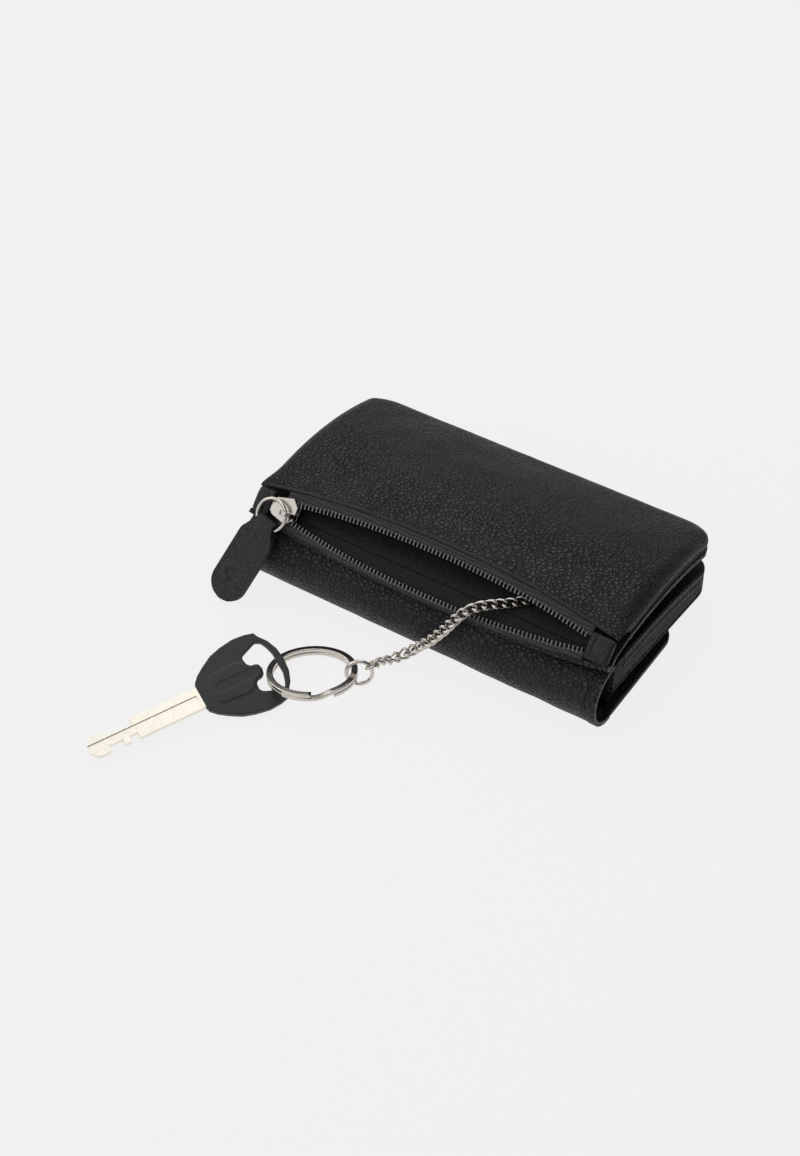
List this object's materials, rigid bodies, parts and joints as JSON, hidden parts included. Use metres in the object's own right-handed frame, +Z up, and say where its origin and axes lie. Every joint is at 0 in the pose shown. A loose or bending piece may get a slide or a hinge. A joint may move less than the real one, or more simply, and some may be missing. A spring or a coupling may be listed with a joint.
{
  "type": "key case",
  "caption": "Black leather key case with a zip pocket over a folded flap, an open zip, a curb chain with a split ring, a key, and hooks under the flap.",
  "frame": {"origin": "centre of the flap's flat underside, on the surface the case lies on", "axes": "+X along the case's length with the zip's slider at -X, +Y from the front fold to the rear, +Z up"},
  "size_m": [0.1241, 0.1537, 0.0334],
  "materials": {
    "pebbled_leather": "pebbled black leather, satin",
    "edge_leather": "smooth black leather",
    "tab_leather": "matte dark grey leather",
    "lining": "woven black lining",
    "tape": "woven black zip tape",
    "teeth": "glossy black coil",
    "padding": "felt padding, not seen",
    "nickel": "polished nickel",
    "steel": "satin steel",
    "bow_plastic": "matte dark grey plastic",
    "blade_metal": "pale nickel silver"
  },
  "bodies": {
    "case": {"top_panel": "pebbled_leather", "pocket_back_panel": "pebbled_leather", "pocket_lining": "lining", "zip_tape_upper": "tape", "zip_tape_lower": "tape", "zip_teeth_upper": "teeth", "zip_teeth_lower": "teeth", "zip_end_tab_left": "edge_leather", "zip_end_tab_right": "edge_leather", "body_top_panel": "pebbled_leather", "body_padding": "padding", "body_base_panel": "edge_leather", "fold_spine": "edge_leather", "fold_lining": "lining", "hook_rail": "steel", "rail_rivets": "steel", "hook_pins": "steel", "snap_stud": "steel", "chain_anchor": "edge_leather", "chain_inner_links": "nickel"},
    "flap": {"flap": "edge_leather", "flap_lining": "lining", "snap_socket": "steel"},
    "slider": {"slider_body": "nickel"},
    "puller_ring": {"puller_ring": "nickel"},
    "pull_tab": {"pull_tab": "tab_leather"},
    "hook_1": {"key_hook_1": "steel"},
    "hook_2": {"key_hook_2": "steel"},
    "hook_3": {"key_hook_3": "steel"},
    "hook_4": {"key_hook_4": "steel"},
    "hook_5": {"key_hook_5": "steel"},
    "hook_6": {"key_hook_6": "steel"},
    "chain": {"chain_outer_links": "nickel", "chain_end_link": "nickel"},
    "ring": {"split_ring": "nickel"},
    "key": {"key_blade": "blade_metal", "key_bow": "bow_plastic"}
  },
  "joints": [
    {"name": "flap_open", "type": "hinge", "parent": "case", "child": "flap", "pos_m": [0, -0.0205, 0], "axis": [1, 0, 0], "range_deg": [-150, 0]},
    {"name": "slider_travel", "type": "slide", "parent": "case", "child": "slider", "axis": [1, 0, 0], "range_m": [0, 0.024], "deforming": ["zip_teeth_upper", "zip_teeth_lower", "zip_tape_upper", "zip_tape_lower"]},
    {"name": "puller_ring_swing", "type": "hinge", "parent": "slider", "child": "puller_ring", "pos_m": [-0.047, -0.02483, 0.02741], "axis": [0, 0.7071, 0.7071], "range_deg": [0, 105]},
    {"name": "pull_tab_turn", "type": "hinge", "parent": "puller_ring", "child": "pull_tab", "pos_m": [-0.05145, -0.02585, 0.02593], "axis": [0, -0.8241, 0.5664], "range_deg": [-25, 20]},
    {"name": "key_hook_1_swivel", "type": "hinge", "parent": "case", "child": "hook_1", "pos_m": [-0.04, -0.0135, 0.00915], "axis": [0, 0.1064, 0.9943], "range_deg": [-12, 12]},
    {"name": "key_hook_2_swivel", "type": "hinge", "parent": "case", "child": "hook_2", "pos_m": [-0.024, -0.0135, 0.00915], "axis": [0, 0.1064, 0.9943], "range_deg": [-12, 12]},
    {"name": "key_hook_3_swivel", "type": "hinge", "parent": "case", "child": "hook_3", "pos_m": [-0.008, -0.0135, 0.00915], "axis": [0, 0.1064, 0.9943], "range_deg": [-12, 12]},
    {"name": "key_hook_4_swivel", "type": "hinge", "parent": "case", "child": "hook_4", "pos_m": [0.008, -0.0135, 0.00915], "axis": [0, 0.1064, 0.9943], "range_deg": [-12, 12]},
    {"name": "key_hook_5_swivel", "type": "hinge", "parent": "case", "child": "hook_5", "pos_m": [0.024, -0.0135, 0.00915], "axis": [0, 0.1064, 0.9943], "range_deg": [-12, 12]},
    {"name": "key_hook_6_swivel", "type": "hinge", "parent": "case", "child": "hook_6", "pos_m": [0.04, -0.0135, 0.00915], "axis": [0, 0.1064, 0.9943], "range_deg": [-12, 12]},
    {"name": "chain_lift", "type": "hinge", "parent": "case", "child": "chain", "pos_m": [0.0163, -0.0279, 0.0238], "axis": [-0.6775, 0.7355, 0], "range_deg": [0, 12]},
    {"name": "ring_swing", "type": "hinge", "parent": "chain", "child": "ring", "pos_m": [-0.00698, -0.04863, 0.00457], "axis": [-0.5193, 0.8234, -0.2288], "range_deg": [0, 80]},
    {"name": "key_swing", "type": "hinge", "parent": "ring", "child": "key", "pos_m": [-0.02879, -0.05793, 0.00309], "axis": [-0.2099, 0.9554, -0.2078], "range_deg": [0, 30]}
  ]
}
